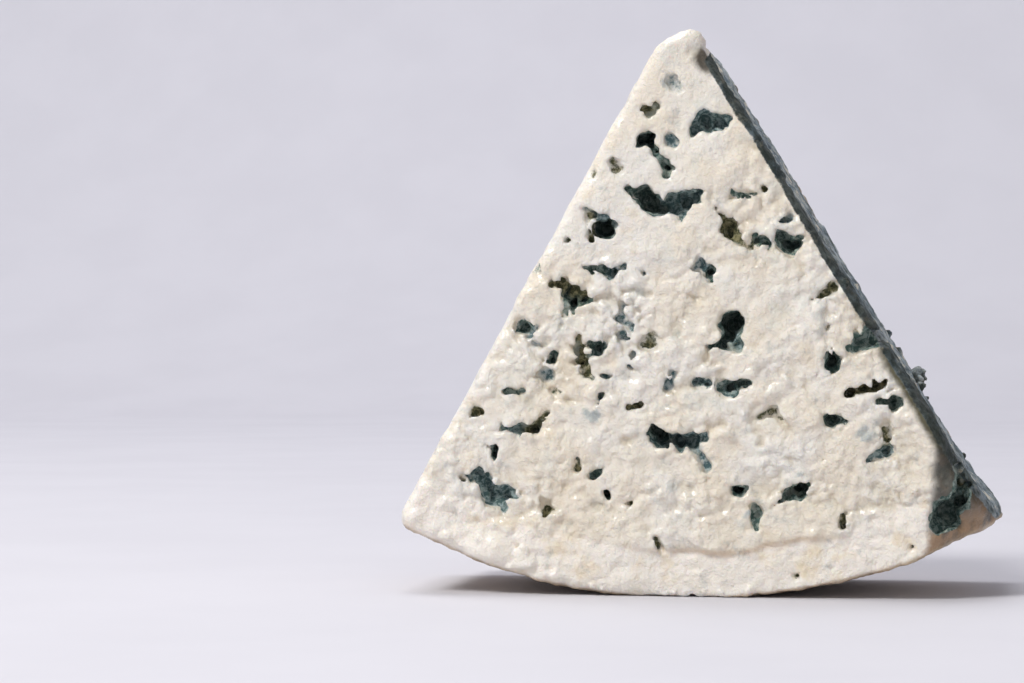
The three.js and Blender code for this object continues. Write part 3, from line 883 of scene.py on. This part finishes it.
class Shader:
    """Short names for building one material's nodes."""

    def __init__(self, name):
        self.material = bpy.data.materials.new(name)
        self.material.use_nodes = True
        self.tree = self.material.node_tree
        self.surface = self.tree.nodes["Principled BSDF"]
        self.place = self.tree.nodes.new("ShaderNodeTexCoord").outputs["Object"]

    def feed(self, socket, value):
        if isinstance(value, bpy.types.NodeSocket):
            self.tree.links.new(value, socket)
        else:
            socket.default_value = value

    def layer(self, name):
        node = self.tree.nodes.new("ShaderNodeAttribute")
        node.attribute_name = name
        return node.outputs["Fac"]

    def noise(self, size, detail=3.0, roughness=0.55, stretch=(1, 1, 1), turn=0.0):
        """Noise from 0 to 1 with features size mm across, drawn out by stretch after a turn about y."""
        mapping = self.tree.nodes.new("ShaderNodeMapping")
        mapping.vector_type = "TEXTURE"
        self.feed(mapping.inputs["Vector"], self.place)
        mapping.inputs["Scale"].default_value = stretch
        mapping.inputs["Rotation"].default_value = (0, math.radians(turn), 0)
        node = self.tree.nodes.new("ShaderNodeTexNoise")
        self.feed(node.inputs["Vector"], mapping.outputs["Vector"])
        node.inputs["Scale"].default_value = 1000 / size
        node.inputs["Detail"].default_value = detail
        node.inputs["Roughness"].default_value = roughness
        return node.outputs["Fac"]

    def grains(self, size):
        """Rounded grains about size mm across: highest at their middles."""
        node = self.tree.nodes.new("ShaderNodeTexVoronoi")
        node.feature = "F1"
        self.feed(node.inputs["Vector"], self.place)
        node.inputs["Scale"].default_value = 1000 / size
        return self.maths("SUBTRACT", 1.0, node.outputs["Distance"])

    def maths(self, operation, first, second=0.5, third=0.5):
        node = self.tree.nodes.new("ShaderNodeMath")
        node.operation = operation
        for socket, value in zip(node.inputs, (first, second, third)):
            self.feed(socket, value)
        return node.outputs[0]

    def step(self, value, low, high, low_out=0.0, high_out=1.0):
        node = self.tree.nodes.new("ShaderNodeMapRange")
        node.interpolation_type = "SMOOTHSTEP"
        for name, entry in (("Value", value), ("From Min", low), ("From Max", high),
                            ("To Min", low_out), ("To Max", high_out)):
            self.feed(node.inputs[name], entry)
        return node.outputs["Result"]

    def blend(self, share, first, second, blend_type="MIX"):
        node = self.tree.nodes.new("ShaderNodeMix")
        node.data_type = "RGBA"
        node.blend_type = blend_type
        self.feed(node.inputs["Factor"], share)
        self.feed(node.inputs["A"], first)
        self.feed(node.inputs["B"], second)
        return node.outputs["Result"]

    def bump(self, height, distance, below=None):
        node = self.tree.nodes.new("ShaderNodeBump")
        node.inputs["Distance"].default_value = distance / 1000
        self.feed(node.inputs["Height"], height)
        if below is not None:
            self.feed(node.inputs["Normal"], below)
        return node.outputs["Normal"]


def colour(red, green, blue):
    """A linear colour from the 0-255 values a screen shows."""
    return tuple((value / 255) ** 2.2 for value in (red, green, blue)) + (1.0,)


def cheese_material():
    shader = Shader("blue_cheese")
    speck = shader.noise(0.9, detail=4, roughness=0.65)
    blotch = shader.noise(4.5, detail=4)
    patch = shader.noise(14, detail=2)
    ragged = shader.maths("MULTIPLY_ADD", speck, 0.9, -0.45)
    ragged = shader.maths("MULTIPLY_ADD", shader.maths("SUBTRACT", blotch, 0.5), 0.7, ragged)

    paste = cream_and_crease_shade(shader, blotch, patch)
    paste = marbling_and_edge_shade(shader, paste)
    paste = bloom_colour(shader, paste, ragged)
    paste = broken_corner_shade(shader, paste, blotch)
    mould = shader.step(shader.maths("ADD", shader.layer("mould"), ragged), 0.38, 0.7)
    paste = shader.blend(mould, paste, mould_and_hollow_shade(shader, speck, blotch))
    crust = shader.step(shader.maths("MULTIPLY_ADD", ragged, 0.9, shader.layer("right")), 0.3, 0.6)
    paste = shader.blend(crust, paste, crust_and_front_shade(shader, ragged, speck, blotch))
    paste = skin_colour(shader, paste, speck, blotch)
    shader.feed(shader.surface.inputs["Base Color"], paste)

    dry = shader.maths("MAXIMUM", mould, crust)
    wet = shader.step(shader.noise(2.4, detail=2), 0.35, 0.7, 0.34, 0.56)
    shader.feed(shader.surface.inputs["Roughness"], shader.maths("MULTIPLY_ADD", dry, 0.4, wet))
    shader.feed(shader.surface.inputs["Coat Weight"], shader.maths("MULTIPLY_ADD", dry, -0.45, 0.45))
    for name, value in PASTE_GLOSS.items():
        shader.surface.inputs[name].default_value = value

    grain = shader.bump(shader.noise(0.5, detail=3, roughness=0.6), 0.24)
    patches = shader.step(shader.noise(6, detail=2), 0.46, 0.6)
    crumbly = shader.maths("MULTIPLY", shader.layer("torn"), patches)
    grain = shader.bump(shader.maths("MULTIPLY", shader.grains(1.3), crumbly), 0.42, grain)
    grain = shader.bump(shader.noise(1.5, detail=3), 0.5, grain)
    shader.feed(shader.surface.inputs["Normal"], grain)
    return shader.material


def cream_and_crease_shade(shader, blotch, patch):
    """The paste: cream, warmer in patches, with painted shade in the lows between its lumps and along
    the crease at the rim band's step.
    """
    cream = shader.blend(shader.step(patch, 0.35, 0.65), colour(237, 232, 222), colour(236, 226, 208))
    cream = shader.blend(shader.step(blotch, 0.55, 0.75, 0, 0.5), cream, colour(226, 210, 184))
    cream = shader.blend(shader.step(blotch, 0.42, 0.3, 0, 0.35), cream, colour(208, 212, 204))
    # Painted shade: the lows of the relief turn towards a darker tan.
    low = shader.maths("MULTIPLY", shader.layer("low"), 0.5)
    cream = shader.blend(low, cream, colour(206, 192, 162))
    warm = shader.step(blotch, 0.5, 0.72, 0, 0.8)
    rim = shader.blend(warm, colour(248, 240, 228), colour(236, 220, 190))
    cream = shader.blend(shader.maths("MULTIPLY", shader.layer("rim"), 0.9), cream, rim)
    # Painted shade: a tan line along the crease at the rim band's step.
    crease = shader.maths("MULTIPLY", shader.layer("crease"), 0.4)
    return shader.blend(crease, cream, colour(206, 172, 124))


def marbling_and_edge_shade(shader, paste):
    """Faint blue-grey clouds in the paste, and painted shade in dark olive on the rounded edge beside
    the right cut.
    """
    cloud = shader.step(shader.noise(5, detail=5, roughness=0.7), 0.56, 0.7, 0, 0.42)
    paste = shader.blend(cloud, paste, colour(168, 178, 176))
    # Painted shade: dark olive where the front turns into the right cut.
    edge = shader.maths("MULTIPLY_ADD", shader.noise(2.5), 0.5, shader.layer("edge"))
    return shader.blend(shader.step(edge, 0.45, 1.1), paste, colour(92, 88, 66))


def bloom_colour(shader, paste, ragged):
    """Blue-grey or olive bloom in the paste round the veins."""
    halo = shader.step(shader.maths("ADD", shader.layer("halo"), ragged), 0.33, 1.0)
    tint = shader.blend(shader.layer("olive"), colour(152, 166, 168), colour(160, 156, 122))
    return shader.blend(shader.maths("MULTIPLY", halo, 0.7), paste, tint)


def broken_corner_shade(shader, paste, blotch):
    """Painted shade of the broken corner and the chipped tip: tan near the rind, dark grey-olive
    further from it.
    """
    dark = shader.blend(shader.step(blotch, 0.4, 0.6), colour(80, 70, 54), colour(44, 48, 40))
    tan = shader.blend(shader.step(blotch, 0.42, 0.64), colour(156, 122, 86), colour(80, 68, 50))
    tan = shader.blend(shader.layer("under"), dark, tan)
    return shader.blend(shader.maths("MULTIPLY", shader.layer("broken"), 0.92), paste, tan)


def mould_and_hollow_shade(shader, speck, blotch):
    """Teal, blue-grey or olive mould: pale fuzz on a dark ground, with painted shade darkening it deep
    in the hollows.
    """
    pale = shader.blend(shader.layer("blue"), colour(148, 162, 150), colour(160, 176, 176))
    pale = shader.blend(shader.layer("olive"), pale, colour(142, 136, 102))
    ground = shader.blend(shader.layer("blue"), colour(72, 94, 84), colour(84, 108, 110))
    ground = shader.blend(shader.layer("olive"), ground, colour(76, 78, 56))
    mould = shader.blend(shader.step(speck, 0.4, 0.58), pale, ground)
    mould = shader.blend(shader.step(blotch, 0.56, 0.68, 0, 0.7), mould, colour(190, 194, 182))
    # Painted shade: the mould darkens the deeper it lies in a hollow.
    return shader.blend(shader.maths("MULTIPLY", shader.layer("deep"), 0.55), mould, colour(36, 48, 46))


def crust_and_front_shade(shader, ragged, speck, blotch):
    """The slate-blue mould of the right cut, clouded, faintly streaked and flecked with cream; painted
    shade darkens it near its front edge and on its crumbs.
    """
    cloud = shader.noise(8, detail=5, roughness=0.62)
    streak = shader.noise(1.2, detail=5, roughness=0.7, stretch=(1, 1, 2), turn=-RIGHT_ANGLE)
    bloom = shader.noise(3.2, detail=5, roughness=0.7)
    slate = shader.blend(shader.step(cloud, 0.4, 0.62), colour(124, 138, 146), colour(182, 190, 192))
    slate = shader.blend(shader.step(blotch, 0.5, 0.66, 0, 0.6), slate, colour(96, 102, 88))
    slate = shader.blend(shader.step(streak, 0.44, 0.6, 0, 0.6), slate, colour(50, 62, 66))
    slate = shader.blend(shader.step(speck, 0.55, 0.7, 0, 0.5), slate, colour(96, 98, 82))
    slate = shader.blend(shader.step(bloom, 0.5, 0.6, 0, 0.7), slate, colour(178, 184, 180))
    slate = shader.blend(shader.step(bloom, 0.57, 0.64, 0, 0.9), slate, colour(218, 210, 192))
    ragged = shader.maths("MULTIPLY_ADD", shader.maths("SUBTRACT", cloud, 0.5), 1.6, ragged)
    # Painted shade: near-black olive towards the right cut's front edge and on its crumbs.
    shade = shader.step(shader.maths("ADD", ragged, shader.layer("shade")), 0.15, 1.0, 0, 0.85)
    return shader.blend(shade, slate, colour(36, 42, 32))


def skin_colour(shader, paste, speck, blotch):
    """The dry skin of the rind and the flat back."""
    mottle = shader.noise(2.6, detail=6, roughness=0.65)
    skin = shader.blend(shader.step(mottle, 0.36, 0.64), colour(200, 178, 146), colour(160, 132, 102))
    skin = shader.blend(shader.step(blotch, 0.5, 0.72, 0, 0.6), skin, colour(216, 206, 188))
    skin = shader.blend(shader.step(speck, 0.6, 0.74, 0, 0.8), skin, colour(120, 114, 96))
    return shader.blend(shader.maths("MULTIPLY", shader.layer("rind"), 0.9), paste, skin)


def floor_material():
    shader = Shader("pale_floor")
    shade = shader.step(shader.noise(60, detail=3), 0.3, 0.7)
    colours = shader.blend(shade, FLOOR_COLOUR, FLOOR_COLOUR_DARKER)
    shader.feed(shader.surface.inputs["Base Color"], colours)
    shader.surface.inputs["Roughness"].default_value = 0.8
    shader.surface.inputs["Specular IOR Level"].default_value = 0.2
    return shader.material


def studio_floor():
    """A pale floor that sweeps up behind the wedge, far enough back for a camera behind it."""
    profile = [(-FLOOR_FRONT, 0.0), (SWEEP_START, 0.0)]
    for step in range(1, SWEEP_STEPS + 1):
        turn = math.pi / 2 * step / SWEEP_STEPS
        away = SWEEP_START + SWEEP_RADIUS * math.sin(turn)
        profile.append((away, SWEEP_RADIUS * (1 - math.cos(turn))))
    profile.append((SWEEP_START + SWEEP_RADIUS, FLOOR_TOP))
    points = [(side * FLOOR_HALF_WIDTH, y, z) for y, z in profile for side in (-1, 1)]
    faces = [(2 * i, 2 * i + 1, 2 * i + 3, 2 * i + 2) for i in range(len(profile) - 1)]
    mesh = bpy.data.meshes.new("floor")
    mesh.from_pydata(points, [], faces)
    for face in mesh.polygons:
        face.use_smooth = True
    mesh.materials.append(floor_material())
    floor = bpy.data.objects.new("floor", mesh)
    bpy.context.scene.collection.objects.link(floor)


def soft_light(name, place, target, size, power, tint):
    """A square area light in metres and watts that faces the target."""
    data = bpy.data.lights.new(name, "AREA")
    data.size = size
    data.energy = power
    data.color = tint
    light = bpy.data.objects.new(name, data)
    light.location = place
    light.rotation_euler = (Vector(target) - Vector(place)).to_track_quat("-Z", "Y").to_euler()
    bpy.context.scene.collection.objects.link(light)


def studio_world():
    world = bpy.data.worlds.new("studio")
    world.use_nodes = True
    background = world.node_tree.nodes["Background"]
    background.inputs["Color"].default_value = WORLD_COLOUR
    background.inputs["Strength"].default_value = WORLD_STRENGTH
    bpy.context.scene.world = world


def front_camera():
    data = bpy.data.cameras.new("camera")
    data.lens = LENS
    data.sensor_width = SENSOR_WIDTH
    camera = bpy.data.objects.new("camera", data)
    camera.location = (Vector(WHEEL_ORIGIN) + Vector(CAMERA_FROM_AXIS)) / 1000
    camera.location.z = CAMERA_HEIGHT / 1000
    camera.rotation_euler = (math.pi / 2, 0, math.radians(CAMERA_TURN))
    bpy.context.scene.collection.objects.link(camera)
    bpy.context.scene.camera = camera


def build_wedge():
    field, low = grow_field()
    mesh = skin_mesh(field, low)
    piece = bpy.data.objects.new("cheese_paste", mesh)
    bpy.context.scene.collection.objects.link(piece)
    piece = largest_piece(piece)
    piece.name = "cheese_paste"
    thin_out(piece)
    piece.data.polygons.foreach_set("use_smooth", [True] * len(piece.data.polygons))
    paint(piece.data)
    piece.data.materials.clear()
    piece.data.materials.append(cheese_material())
    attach(piece, "root")
    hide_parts("cheese_wedge")


VEINS = all_veins()
build_wedge()
studio_floor()
studio_world()
for lamp in LAMPS:
    soft_light(*lamp)
front_camera()
bpy.context.scene.view_settings.view_transform = "Standard"
